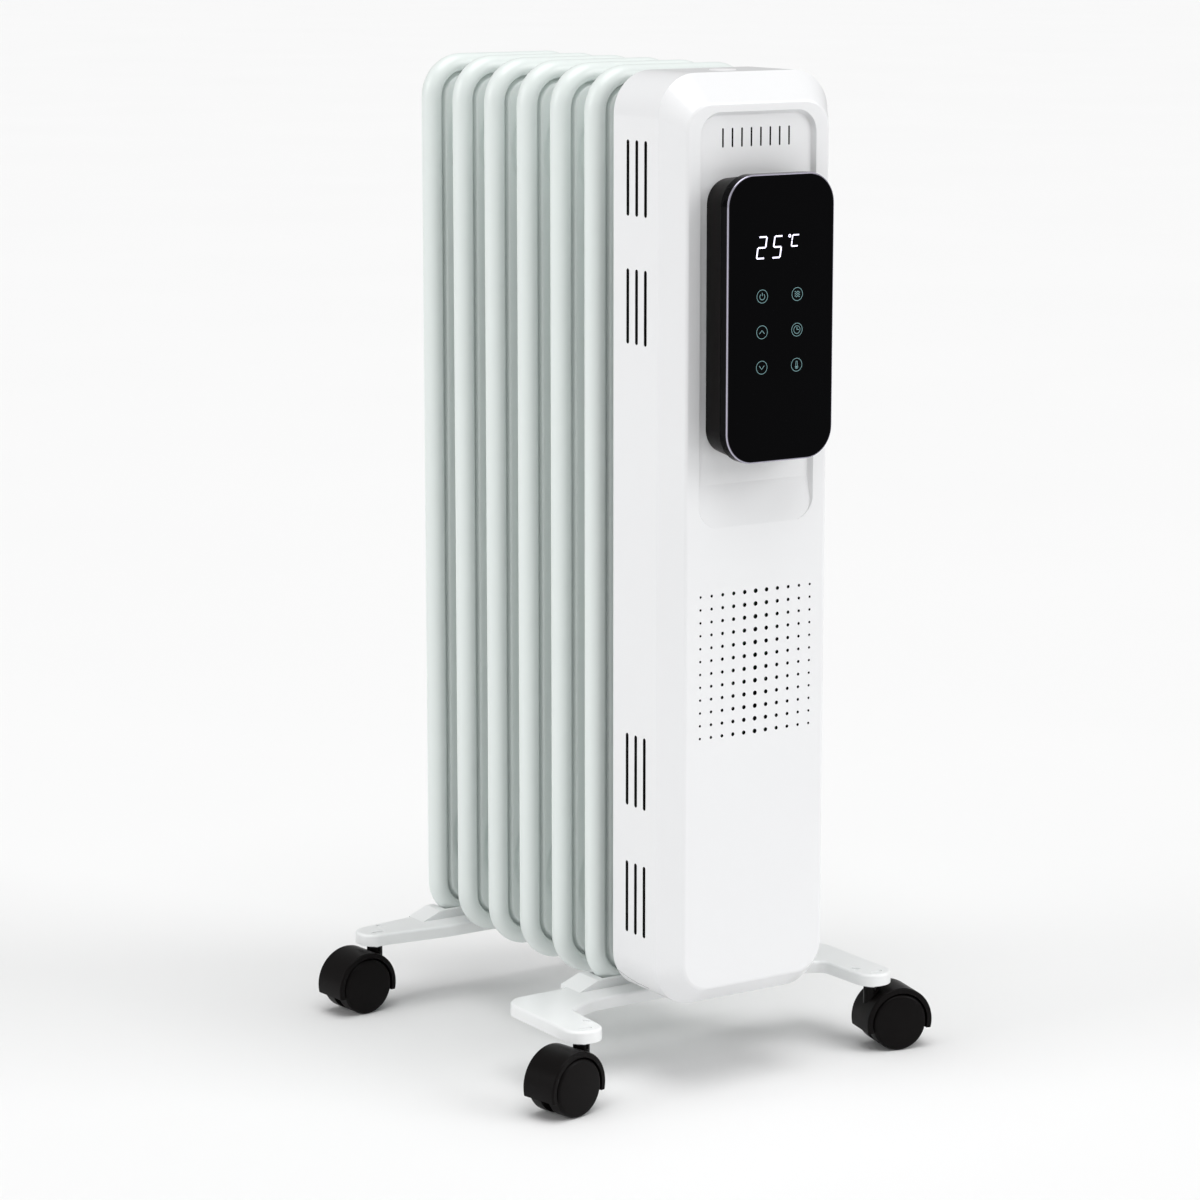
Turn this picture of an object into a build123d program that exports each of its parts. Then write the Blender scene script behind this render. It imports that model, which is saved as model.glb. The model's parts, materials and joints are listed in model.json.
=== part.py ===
"""Oil filled radiator heater on four twin-wheel casters.

Millimetres. X runs across the heater, -Y is its front, +Z is up. The floor is Z = 0, the
plane X = 0 splits the heater in two, and Y = 0 is the middle of its depth at rest.
"""
from build123d import *
import os
from math import atan2, degrees

os.makedirs("parts", exist_ok=True)

# ---------------------------------------------------------------- driving dimensions
# Fin pack
fin_count = 7
fin_pitch = 39.0
fin_width = 123.0
fin_top = 630.0
fin_bottom = 48.0
fin_corner = 28.0
sheet = 0.7                 # pressed steel sheet
bead_radius = 7.4           # half the thickness of the rolled edge bead
bead_width = 11.0
panel_level = 5.6           # height of the oil panel over the seam plane
groove_floor = 0.6          # flat seam strip between bead and panel
groove_flank = 1.5          # run of the wall that climbs from the seam to the panel
seam_gap = 0.1              # weld line between the two sheets of a fin
hub_inset = 58.0            # hub centre below the fin's top and above its bottom
hub_dish_radius = 45.5
hub_dish_drop = 2.2
hub_cone_radius = 31.0
hub_cone_reach = 14.0
hub_collar_radius = 17.5
hub_cap_radius = 16.0
hub_cap_rise = 2.4
channel_count = 3
channel_spacing = 24.0
channel_width = 8.0
channel_depth = 3.4
channel_end_gap = 22.0      # from the hub dish to the end of a channel

# Housing
housing_width = 124.0
housing_top = 628.3
housing_base = 56.5
housing_corner = 26.0
housing_wall = 2.0
housing_depth = 63.5        # rear mouth to front face
housing_overlap = 2.3       # rear mouth stands this far behind the end fin's panel
band_depth = 15.5           # sloped band round the front face
band_side = 10.35
band_top = 17.7
band_bottom = 12.5
face_corner = 17.0
front_round = 2.6
plate_thickness = 1.2
plate_setback = 2.7         # mounting plate behind the front of the end fin's hub collars
boss_radius = 4.0
boss_x = 49.0
boss_levels = (160.0, 330.0, 527.0)
cover_top_rear = 70.0       # seam of the bottom cover at the rear mouth
cover_top_front = 63.8      # and at its front end
cover_length = 28.7
cover_seam = 0.3

# Recess, vents and hole field in the front face
recess_width = 84.6
recess_top_gap = 5.0        # under the face's top edge
recess_height = 249.0
recess_depth = 3.2
recess_corner = 12.0
recess_run = 2.0            # how far its side walls lean outwards
recess_round = 1.2          # soft edge where they meet the face and the floor
recess_ramp = 26.0
vent_count = 8
vent_spacing = 6.9
vent_width = 1.2
vent_height = 11.5
vent_drop = 15.4            # vent centre under the recess's top
hole_columns = 11
hole_rows = 12
hole_spacing_x = 8.15
hole_spacing_z = 7.96
hole_field_top = 315.3
hole_radius_centre = 1.45
hole_radius_edge = 0.8
slot_width = 3.0
slot_height = 45.5
slot_spacing = 9.5
slot_columns = 3
slot_first = 15.6           # first slot ahead of the rear mouth
slot_levels = (121.5, 202.5, 488.5, 565.5)

# Power button in the housing's top
button_radius = 8.5
button_setback = 25.0       # ahead of the rear mouth
button_travel = 2.0
button_height = 9.0
button_proud = 0.4
button_flange = 1.2
flange_overhang = 1.5
button_edge = 0.8
spring_wire = 0.7
spring_radius = 4.6         # to the middle of the wire
spring_pitch = 1.6
spring_rest = 6.0           # spring's length with the button fully down
switch_size = (16.0, 12.0, 10.0)
switch_plate = (24.0, 24.0)
switch_plate_thickness = 2.0
plunger_radius = 2.5
plunger_height = 4.0
switch_margin = 6.0         # notch of the mounting plate beside the switch
switch_room = 31.0          # and under the housing's top

# Control panel
panel_width = 78.0
panel_height = 172.0
panel_corner = 19.0
panel_centre_z = 484.0
panel_proud = 23.5          # glass face over the housing's front face
glass_thickness = 3.5
glass_edge = 1.2
glass_rim = 3.6             # gloss rim behind the glass, ahead of the tray
tray_inset = 0.9
tray_draft = 2.6            # how much narrower the tray is at its back, each side
tray_wall = 2.2
display_size = (44.0, 5.8, 22.0)
display_place = (-2.0, 527.0)
key_columns = (-13.7, 11.9)
key_rows = (497.8, 476.5, 455.4)
key_radius = 3.6
board_thickness = 1.6
panel_post_radius = 4.0
panel_screw_length = 12.0
panel_post_x = 27.0
panel_post_drop = 22.0      # posts in from the panel's top and bottom ends

# Inner parts
power_board_size = (84.0, 130.0)
power_board_z = 265.0
board_post = 6.0
board_post_radius = 3.0
screw_radius = 1.5
housing_screw_length = 9.0
screw_head_radius = 3.2
screw_head = 2.0
element_radius = 4.0
element_spacing = 7.0       # half the distance between the two legs of an element
element_offset = 6.0        # elements above and below the hub's axis
element_end_gap = 20.0      # from the bend to the end of the oil space
flange_radius = 16.5
flange_thickness = 5.0
gasket_thickness = 1.5
terminal_radius = 1.6
terminal_length = 12.0
plug_radius = 12.0
component_round = 0.6
relay_blocks = ((-24.0, -30.0, 16.0, 16.0, 20.0), (-4.0, -30.0, 16.0, 16.0, 20.0))
transformer_block = (22.0, -26.0, 26.0, 17.0, 24.0)
terminal_strip = (0.0, -54.0, 50.0, 12.0, 11.0)
capacitor_places = ((-28.0, 10.0, 5.0), (-12.0, 10.0, 5.0), (24.0, 16.0, 6.5))   # X, Z, radius
capacitor_height = 14.0
sensor_x = 34.0             # cutout, sensor and tip-over switch either side of the lower hub
sensor_rise = 28.0
small_round = 2.0
cutout_radius = 8.0
cutout_height = 7.0
cutout_strap = (24.0, 9.0)
cutout_strap_thickness = 1.0
sensor_size = (16.0, 5.0)
sensor_height = 4.0
tip_switch_size = (22.0, 30.0)
tip_switch_height = 16.0
tip_switch_drop = 6.0
lead_radius = 1.3
lead_start = 5.0
lead_climb = 40.0
lead_slant = 20.0
lead_bend = 4.0
lead_clearance = 6.0        # leads pass this far ahead of the power board
gland_bore = 3.7
gland_wall = 1.7
gland_flange = 8.5
gland_x = 30.0
gland_setback = 19.1        # ahead of the rear mouth
gland_drop = 8.0
gland_rise = 7.0

# Feet
foot_top = 52.0
foot_underside = 44.2
foot_wall = 2.5
foot_round = 1.8
lobe_radius = 12.0
bar_margin = 8.5            # foot edge ahead of its U-bolt
fin_margin = 11.2           # foot edge behind the fin it carries
arm_step = 8.0
arm_inner_x = 97.0
recess_mark = 1.0           # depth of the marks pressed beside each stem
triangle_inset = 8.0
triangle_behind = 7.0
triangle_radius = 4.2
dash_ahead = 5.0
dash_size = (9.0, 3.0)
bar_shoulder = 4.0          # straight bar past the end of its saddle
arm_flare = 16.0
neck_behind = 10.0          # where a front arm narrows to its neck
neck_run = 22.0
front_radii = (8.0, 12.0, 15.0, 11.6, 11.6, 8.0, 12.0)
rear_radii = (20.0, 10.0, 10.6, 10.6, 12.0, 20.0)
saddle_top = 57.5
saddle_half_length = 60.0
saddle_slope = 14.0
foot_fin_gap = 0.2
stem_x = 111.2
front_stem_ahead = 31.6     # front stems ahead of the end fin
rear_stem_ahead = 10.7      # rear stems ahead of the rear fin
stem_boss_radius = 8.0
stem_thread_radius = 4.0
u_bolt_wire = 2.5
u_bolt_gap = 0.8            # wire to hub collar
nut_radius = 5.5
nut_height = 5.0
wing_span = 26.0
wing_thickness = 2.4
wing_drop = 1.0
u_bolt_end = 1.0            # bolt ends above the foot's underside

# Casters
wheel_radius = 18.5
wheel_inner_face = 2.9      # from the caster's middle plane
wheel_outer_face = 14.3
wheel_shoulder = 2.4
hood_radius = 22.8
hood_half_width = 13.2
hood_gap = 0.9
hood_web = 2.2              # half the thickness of the middle web
hood_cut_z = 13.2
caster_trail = 14.6
axle_radius = 2.5
pin_radius = 3.3
pin_bottom = 35.0
shoulder_radius = 4.4
collar_radius = 5.2
collar_bottom = 30.0
collar_top = 41.2
front_yaw = 12.0
rear_yaw = 6.0

# Clearances
running_gap = 0.05          # axle in wheel, pin in collar, button in guide
thread_gap = 0.05
loose_gap = 0.35

# ---------------------------------------------------------------- derived places
fin_height = fin_top - fin_bottom
fin_middle_z = (fin_top + fin_bottom) / 2
pack_depth = (fin_count - 1) * fin_pitch
front_reach = housing_depth + panel_proud - panel_level - seam_gap / 2 - housing_overlap
overall_depth = bead_radius + seam_gap / 2 + pack_depth + front_reach
rear_fin_y = overall_depth / 2 - bead_radius - seam_gap / 2
end_fin_y = rear_fin_y - pack_depth
mouth_y = end_fin_y + panel_level + seam_gap / 2 + housing_overlap
face_y = mouth_y - housing_depth
shoulder_y = face_y + band_depth
glass_y = face_y - panel_proud
recess_y = face_y + recess_depth
hub_levels = (fin_bottom + hub_inset, fin_top - hub_inset)
collar_reach = fin_pitch / 2 - seam_gap / 2
collar_front_y = end_fin_y - fin_pitch / 2
plate_y = collar_front_y + plate_setback
housing_mid_z = (housing_top + housing_base) / 2
housing_height = housing_top - housing_base
face_top = housing_top - band_top
face_base = housing_base + band_bottom
face_width = housing_width - 2 * band_side
recess_top = face_top - recess_top_gap
recess_base = recess_top - recess_height
front_stem_y = end_fin_y - front_stem_ahead
rear_stem_y = rear_fin_y - rear_stem_ahead
front_bolt_y = end_fin_y + fin_pitch / 2
rear_bolt_y = rear_fin_y - fin_pitch / 2
u_bolt_x = hub_collar_radius + u_bolt_gap + u_bolt_wire


def save(piece, name):
    """Label one finished piece and write it."""
    piece.label = name
    export_step(piece, f"parts/{name}.step")


# ---------------------------------------------------------------- fins
def edge_section(inset_plane, beaded):
    """Section of a pressed sheet from its edge to the oil panel: inset from the edge against
    height over the seam. Bead: two quarter arcs; then the seam strip and the panel's flank."""
    inner_radius = bead_width - bead_radius
    strip_end = bead_width + sheet / 2 + groove_floor
    flank_end = strip_end + groove_flank
    panel_end = flank_end + 2 * sheet
    bend = inner_radius - sheet
    shoulder = bead_radius - inner_radius
    with BuildSketch(inset_plane) as section:
        with BuildLine():
            if beaded:
                CenterArc((bead_radius, 0), bead_radius, 180, -90)
                CenterArc((bead_radius, shoulder), inner_radius, 90, -90)
                Line((bead_width, shoulder), (bead_width, sheet))
            else:
                Line((bead_width, 0), (bead_width, sheet))
            Polyline((bead_width, sheet), (strip_end, sheet), (flank_end, panel_level),
                     (panel_end, panel_level), (panel_end, panel_level - sheet),
                     (flank_end + sheet / 2, panel_level - sheet), (strip_end + sheet / 2, 0))
            if beaded:
                Line((strip_end + sheet / 2, 0), (bead_width - sheet, 0))
                Line((bead_width - sheet, 0), (bead_width - sheet, shoulder))
                CenterArc((bead_radius, shoulder), bend, 0, 90)
                CenterArc((bead_radius, 0), bead_radius - sheet, 90, 90)
                Line((sheet, 0), (0, 0))
            else:
                Line((strip_end + sheet / 2, 0), (bead_width, 0))
        make_face()
    return section.sketch, panel_end


def pressed_sheet(beaded, open_hubs):
    """One pressed sheet of a fin. It bulges towards -Y from its seam plane Y = 0."""
    side = fin_width / 2
    start = Plane(origin=(side, 0, fin_middle_z), x_dir=(-1, 0, 0), z_dir=(0, 0, 1))
    section, panel_inset = edge_section(start, beaded)
    with BuildLine() as outline:
        FilletPolyline((side, 0, fin_middle_z), (side, 0, fin_top), (-side, 0, fin_top),
                       (-side, 0, fin_middle_z), radius=fin_corner)
        FilletPolyline((-side, 0, fin_middle_z), (-side, 0, fin_bottom), (side, 0, fin_bottom),
                       (side, 0, fin_middle_z), radius=fin_corner)
    channel_length = hub_levels[1] - hub_levels[0] - 2 * (hub_dish_radius + channel_end_gap)
    with BuildPart() as pressed:
        sweep(sections=section, path=outline.wires()[0])
        with BuildSketch(Plane.XZ.offset(panel_level - sheet)):
            with Locations((0, fin_middle_z)):
                RectangleRounded(fin_width - 2 * panel_inset, fin_height - 2 * panel_inset,
                                 fin_corner - panel_inset)
            for level in hub_levels:
                with Locations((0, level)):
                    Circle(hub_dish_radius, mode=Mode.SUBTRACT)
        extrude(amount=sheet)
        for level in hub_levels:
            with BuildSketch(Plane.YZ):
                with Locations((0, level)):
                    add(hub_section(open_hubs))
            revolve(axis=Axis((0, 0, level), (0, 1, 0)))
        for wall, depth, mode in ((0, channel_depth + sheet, Mode.ADD),
                                  (sheet, channel_depth, Mode.SUBTRACT)):
            with BuildSketch(Plane.XZ.offset(panel_level - depth)):
                with Locations((0, fin_middle_z)):
                    with GridLocations(channel_spacing, 1, channel_count, 1):
                        SlotOverall(channel_length - 2 * wall, channel_width - 2 * wall, rotation=90)
            extrude(amount=depth, mode=mode)
    return pressed.part


def hub_section(open_hubs):
    """Half section of a hub in a plane through its axis: dish, cone and collar, or a blind cap.
    The first axis is -height over the seam, the second the distance from the hub's axis."""
    dish = panel_level - hub_dish_drop
    step = hub_dish_radius - hub_dish_drop
    rim = [(panel_level, hub_dish_radius), (dish, step)]
    if open_hubs:
        outer = rim + [(dish, hub_cone_radius), (hub_cone_reach, hub_collar_radius),
                       (collar_reach, hub_collar_radius)]
        inner = [(collar_reach, hub_collar_radius - sheet),
                 (hub_cone_reach - sheet / 2, hub_collar_radius - sheet)]
        tail = [(dish - sheet, hub_cone_radius)]
    else:
        cap = dish + hub_cap_rise
        outer = rim + [(dish, hub_cap_radius + hub_cap_rise), (cap, hub_cap_radius), (cap, 0)]
        inner = [(cap - sheet, 0), (cap - sheet, hub_cap_radius)]
        tail = [(dish - sheet, hub_cap_radius + hub_cap_rise)]
    points = outer + inner + tail + [(dish - sheet, step), (panel_level - sheet, hub_dish_radius)]
    with BuildSketch(mode=Mode.PRIVATE) as half:
        with BuildLine():
            Polyline(*[(-height, reach) for height, reach in points], close=True)
        make_face()
    return half.sketch


beaded_open = pressed_sheet(True, True)
beaded_blind = pressed_sheet(True, False)
plain_open = pressed_sheet(False, True)

for number in range(1, fin_count + 1):
    fin_y = rear_fin_y - (number - 1) * fin_pitch
    front_sheet = plain_open if number == fin_count else beaded_open
    rear_sheet = beaded_blind if number == 1 else front_sheet
    with BuildPart() as fin:
        with Locations((0, fin_y - seam_gap / 2, 0)):
            add(front_sheet)
        with Locations(Location((0, fin_y + seam_gap / 2, 0), (0, 0, 180))):
            add(rear_sheet)
    save(fin.part, f"fin_{number}")

with BuildPart() as filler_plug:
    with BuildSketch(Plane.XZ.offset(-collar_front_y)):
        with Locations((0, hub_levels[1])):
            Circle(hub_collar_radius)
            RegularPolygon(plug_radius / 2, 6, mode=Mode.SUBTRACT)
    extrude(amount=flange_thickness)
    with BuildSketch(Plane.XZ.offset(-collar_front_y)):
        with Locations((0, hub_levels[1])):
            Circle(hub_collar_radius - sheet - thread_gap)
    extrude(amount=-flange_thickness)
save(filler_plug.part, "oil_filler_plug")

# ---------------------------------------------------------------- heating element
element_start = collar_front_y - gasket_thickness - flange_thickness
element_end = rear_fin_y - element_end_gap
element_z = hub_levels[0]
leg_places = [(side * element_spacing, element_z + lift * element_offset)
              for lift in (-1, 1) for side in (-1, 1)]

with BuildPart() as heating_elements:
    for lift in (-1, 1):
        leg_z = element_z + lift * element_offset
        with BuildLine() as bent_tube:
            Line((-element_spacing, element_start, leg_z), (-element_spacing, element_end, leg_z))
            ThreePointArc((-element_spacing, element_end, leg_z),
                          (0, element_end + element_spacing, leg_z),
                          (element_spacing, element_end, leg_z))
            Line((element_spacing, element_end, leg_z), (element_spacing, element_start, leg_z))
        with BuildSketch(Plane(origin=(-element_spacing, element_start, leg_z), z_dir=(0, 1, 0))):
            Circle(element_radius)
        sweep(path=bent_tube.wires()[0])
save(heating_elements.part, "heating_elements")


def hub_washer(front_offset, thickness, radius, hole_radius):
    """Disc across the bottom hub's mouth with a hole for each leg of the elements."""
    with BuildPart() as washer:
        with BuildSketch(Plane.XZ.offset(-collar_front_y + front_offset)):
            with Locations((0, element_z)):
                Circle(radius)
            with Locations(*leg_places):
                Circle(hole_radius, mode=Mode.SUBTRACT)
        extrude(amount=thickness)
    return washer.part


save(hub_washer(0, gasket_thickness, flange_radius, element_radius + loose_gap), "flange_gasket")
save(hub_washer(gasket_thickness, flange_thickness, hub_collar_radius, element_radius),
     "element_flange")

with BuildPart() as terminals:
    with BuildSketch(Plane.XZ.offset(-element_start)):
        with Locations(*leg_places):
            Circle(terminal_radius)
    extrude(amount=terminal_length)
save(terminals.part, "element_terminals")


# ---------------------------------------------------------------- housing
def housing_form(inset):
    """Solid shape of the housing with every wall moved inwards by the inset."""
    skew = inset / 2        # keeps the sloped band as thick as the walls
    with BuildPart() as form:
        with BuildSketch(Plane.XZ.offset(-mouth_y)):
            with Locations((0, housing_mid_z)):
                RectangleRounded(housing_width - 2 * inset, housing_height - 2 * inset,
                                 housing_corner - inset)
        extrude(amount=housing_depth - band_depth - skew)
        with BuildSketch(Plane.XZ.offset(-shoulder_y - skew)):
            with Locations((0, housing_mid_z)):
                RectangleRounded(housing_width - 2 * inset, housing_height - 2 * inset,
                                 housing_corner - inset)
        with BuildSketch(Plane.XZ.offset(-face_y - inset)):
            with Locations((0, (face_top + face_base) / 2)):
                RectangleRounded(face_width - 2 * skew, face_top - face_base - 2 * skew,
                                 face_corner - skew)
        loft(ruled=True)
    return form.part


def recess_form(grow):
    """Pocket of the recess: its outline grown by the given amount and its floor that much
    deeper. The side walls slope, and the lower end is a long ramp."""
    depth = recess_depth + grow
    with BuildPart() as pocket:
        with BuildSketch(Plane.XZ.offset(-recess_y - grow)):
            with Locations((0, (recess_top + recess_base) / 2)):
                RectangleRounded(recess_width - 2 * recess_run + 2 * grow,
                                 recess_height - 2 * recess_run + 2 * grow, recess_corner)
        extrude(amount=depth, taper=-degrees(atan2(recess_run, recess_depth)))
        with BuildSketch(Plane.YZ):
            with BuildLine():
                Polyline((face_y, recess_base - 2 * grow), (recess_y + grow, recess_base - 2 * grow),
                         (recess_y + grow, recess_base + recess_ramp - grow),
                         (face_y, recess_base), close=True)
            make_face()
        extrude(amount=recess_width, both=True, mode=Mode.SUBTRACT)
    return pocket.part


def cover_region(gap):
    """Everything below and behind the bottom cover's seam, moved back by the gap."""
    front = mouth_y - cover_length + gap
    with BuildPart() as region:
        with BuildSketch(Plane.YZ):
            with BuildLine():
                Polyline((mouth_y + 1, cover_top_rear + 2 - gap), (mouth_y, cover_top_rear - gap))
                Spline((mouth_y, cover_top_rear - gap), (front, cover_top_front - gap),
                       tangents=((-1, -0.55), (-1, 0)))
                Polyline((front, cover_top_front - gap), (front, housing_base - 1),
                         (mouth_y + 1, housing_base - 1), (mouth_y + 1, cover_top_rear + 2 - gap))
            make_face()
        extrude(amount=housing_width, both=True)
    return region.part


def boss_places():
    """Centres of the screw bosses, as X and Z."""
    return [(side * boss_x, level) for level in boss_levels for side in (-1, 1)]


button_y = mouth_y - button_setback
panel_post_z = [panel_centre_z + side * (panel_height / 2 - panel_post_drop) for side in (-1, 1)]
panel_posts = [(side * panel_post_x, level) for level in panel_post_z for side in (-1, 1)]

with BuildPart() as housing:
    add(housing_form(0))
    fillet(housing.edges().group_by(Axis.Y)[0], radius=front_round)
    add(recess_form(0), mode=Mode.SUBTRACT)
    floor_edges = housing.edges().filter_by_position(Axis.Y, recess_y - 0.01, recess_y + 0.01)
    fillet(floor_edges, radius=recess_round)
    with BuildPart(mode=Mode.PRIVATE) as hollow:
        add(housing_form(housing_wall))
        add(recess_form(housing_wall), mode=Mode.SUBTRACT)
    add(hollow.part, mode=Mode.SUBTRACT)
    # air vents: slots in both sides, thin slots in the recess, hole field under it
    with BuildSketch(Plane.YZ):
        for level in slot_levels:
            for column in range(slot_columns):
                with Locations((mouth_y - slot_first - column * slot_spacing, level)):
                    SlotOverall(slot_height, slot_width, rotation=90)
    extrude(amount=housing_width, both=True, mode=Mode.SUBTRACT)
    with BuildSketch(Plane.XZ.offset(-recess_y - housing_wall)):
        with Locations((0, recess_top - vent_drop)):
            with GridLocations(vent_spacing, 1, vent_count, 1):
                SlotOverall(vent_height, vent_width, rotation=90)
    extrude(amount=housing_wall + recess_depth, mode=Mode.SUBTRACT)
    with BuildSketch(Plane.XZ.offset(-face_y - housing_wall)):
        for column in range(hole_columns):
            offset_x = (column - (hole_columns - 1) / 2) * hole_spacing_x
            share = abs(offset_x) / (hole_spacing_x * (hole_columns - 1) / 2)
            radius = hole_radius_centre + (hole_radius_edge - hole_radius_centre) * share
            middle = hole_field_top - hole_spacing_z * (hole_rows - 1) / 2
            with Locations((offset_x, middle)):
                with GridLocations(1, hole_spacing_z, 1, hole_rows):
                    Circle(radius)
    extrude(amount=housing_wall, mode=Mode.SUBTRACT)
    # button opening in the top, screw holes behind the panel, bosses for the mounting plate
    with BuildSketch(Plane.XY.offset(housing_top - housing_wall)):
        with Locations((0, button_y)):
            Circle(button_radius + running_gap)
    extrude(amount=housing_wall, mode=Mode.SUBTRACT)
    with BuildSketch(Plane.XZ.offset(-recess_y - housing_wall)):
        with Locations(*panel_posts):
            Circle(screw_radius + loose_gap)
    extrude(amount=housing_wall, mode=Mode.SUBTRACT)
    with BuildSketch(Plane.XZ.offset(-plate_y + plate_thickness)):
        with Locations(*boss_places()):
            Circle(boss_radius)
            Circle(screw_radius - thread_gap, mode=Mode.SUBTRACT)
    extrude(until=Until.NEXT)

with BuildPart() as housing_cover:
    add(housing.part)
    add(cover_region(0), mode=Mode.SUBTRACT)
save(housing_cover.part, "housing_cover")

gland_y = mouth_y - gland_setback
with BuildPart() as bottom_cover:
    add(housing.part)
    add(cover_region(cover_seam), mode=Mode.INTERSECT)
    with BuildSketch(Plane.XY.offset(housing_base)):
        with Locations((gland_x, gland_y)):
            Circle(gland_bore + gland_wall)
    extrude(amount=housing_wall, mode=Mode.SUBTRACT)
save(bottom_cover.part, "housing_bottom")

with BuildPart() as mounting_plate:
    with BuildSketch(Plane.XZ.offset(-plate_y)):
        with Locations((0, housing_mid_z)):
            RectangleRounded(housing_width - 2 * housing_wall - 2 * loose_gap,
                             housing_height - 2 * housing_wall - 2 * loose_gap,
                             housing_corner - housing_wall - loose_gap)
        for level in hub_levels:
            with Locations((0, level)):
                Circle(hub_collar_radius, mode=Mode.SUBTRACT)
        with Locations(*boss_places()):
            Circle(screw_radius + loose_gap, mode=Mode.SUBTRACT)
        with Locations((0, housing_top)):
            Rectangle(switch_size[0] + 2 * switch_margin, 2 * switch_room, mode=Mode.SUBTRACT)
    extrude(amount=plate_thickness)
save(mounting_plate.part, "mounting_plate")


def screw(head_plane, places, length, head=screw_head_radius):
    """Pan-head screws at the places in a plane; the plane's normal points along the shanks."""
    with BuildPart() as screws:
        with BuildSketch(head_plane):
            with Locations(*places):
                Circle(head)
        extrude(amount=-screw_head)
        with BuildSketch(head_plane):
            with Locations(*places):
                Circle(screw_radius - thread_gap)
        extrude(amount=length)
    return screws.part


save(screw(Plane.XZ.offset(-plate_y), boss_places(), housing_screw_length), "housing_screws")

with BuildPart() as cable_gland:
    with BuildSketch(Plane.XY.offset(housing_base)):
        with Locations((gland_x, gland_y)):
            Circle(gland_flange)
    extrude(amount=-gland_wall)
    with BuildSketch(Plane.XY.offset(housing_base - gland_drop)):
        with Locations((gland_x, gland_y)):
            Circle(gland_bore + gland_wall)
    extrude(amount=gland_drop + gland_rise)
    with BuildSketch(Plane.XY.offset(housing_base - gland_drop)):
        with Locations((gland_x, gland_y)):
            Circle(gland_bore)
    extrude(amount=gland_drop + gland_rise, mode=Mode.SUBTRACT)
save(cable_gland.part, "cable_gland")

# ---------------------------------------------------------------- control panel
glass_back_y = glass_y + glass_thickness
tray_front = glass_back_y + glass_rim
tray_depth = recess_y - tray_front
tray_floor = recess_y - tray_wall
tray_taper = -degrees(atan2(tray_draft, tray_depth))
board_y = glass_back_y + display_size[1]


def panel_outline(inset):
    """Rounded outline of the panel, moved inwards."""
    with BuildSketch(mode=Mode.PRIVATE) as outline:
        with Locations((0, panel_centre_z)):
            RectangleRounded(panel_width - 2 * inset, panel_height - 2 * inset, panel_corner - inset)
    return outline.sketch


with BuildPart() as panel_tray:
    with BuildSketch(Plane.XZ.offset(-recess_y)):
        add(panel_outline(tray_inset + tray_draft))
    extrude(amount=tray_depth, taper=tray_taper)
    with BuildSketch(Plane.XZ.offset(-tray_floor)):
        add(panel_outline(tray_inset + tray_draft + tray_wall))
    extrude(amount=tray_depth - tray_wall, taper=tray_taper, mode=Mode.SUBTRACT)
    with BuildSketch(Plane.XZ.offset(-recess_y)):
        with Locations(*panel_posts):
            Circle(panel_post_radius)
    extrude(amount=recess_y - board_y - board_thickness)
    with BuildSketch(Plane.XZ.offset(-recess_y)):
        with Locations(*panel_posts):
            Circle(screw_radius - thread_gap)
    extrude(amount=recess_y - board_y - board_thickness, mode=Mode.SUBTRACT)
save(panel_tray.part, "panel_tray")
save(screw(Plane.XZ.offset(-recess_y - housing_wall), panel_posts, panel_screw_length), "panel_screws")

with BuildPart() as panel_glass:
    with BuildSketch(Plane.XZ.offset(-tray_front)):
        add(panel_outline(0))
    extrude(amount=glass_thickness + glass_rim)
    fillet(panel_glass.edges().group_by(Axis.Y)[0], radius=glass_edge)
    with BuildSketch(Plane.XZ.offset(-tray_front)):
        add(panel_outline(tray_inset + tray_wall))
    extrude(amount=glass_rim, mode=Mode.SUBTRACT)
save(panel_glass.part, "panel_glass")

with BuildPart() as touch_board:
    with BuildSketch(Plane.XZ.offset(-board_y - board_thickness)):
        add(panel_outline(tray_inset + tray_draft + tray_wall))
    extrude(amount=board_thickness)
save(touch_board.part, "touch_board")

with BuildPart() as display_module:
    with BuildSketch(Plane.XZ.offset(-board_y)):
        with Locations(display_place):
            RectangleRounded(display_size[0], display_size[2], small_round)
    extrude(amount=display_size[1])
save(display_module.part, "display_module")

with BuildPart() as touch_springs:
    with BuildSketch(Plane.XZ.offset(-board_y)):
        with Locations(*[(x, z) for x in key_columns for z in key_rows]):
            Circle(key_radius)
            Circle(key_radius - spring_wire, mode=Mode.SUBTRACT)
    extrude(amount=display_size[1])
save(touch_springs.part, "touch_springs")

# ---------------------------------------------------------------- power electronics
power_board_y = plate_y - plate_thickness - board_post - board_thickness
sensor_z = hub_levels[0] + sensor_rise
board_half_x = power_board_size[0] / 2 - 2 * board_post_radius
board_half_z = power_board_size[1] / 2 - 2 * board_post_radius
board_posts = [(x, power_board_z + z) for x in (-board_half_x, board_half_x)
               for z in (-board_half_z, board_half_z)]


def on_board(*blocks):
    """Box-shaped components on the front of the power board: X, Z, width, depth, height."""
    with BuildPart() as parts_on_board:
        for x, z, width, depth, height in blocks:
            with Locations((x, power_board_y - depth / 2, power_board_z + z)):
                Box(width, depth, height)
        fillet(parts_on_board.edges().group_by(Axis.Y)[0], radius=component_round)
    return parts_on_board.part


with BuildPart() as power_board:
    with BuildSketch(Plane.XZ.offset(-power_board_y - board_thickness)):
        with Locations((0, power_board_z)):
            RectangleRounded(*power_board_size, 3)
        with Locations(*board_posts):
            Circle(screw_radius, mode=Mode.SUBTRACT)
    extrude(amount=board_thickness)
save(power_board.part, "power_board")

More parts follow.
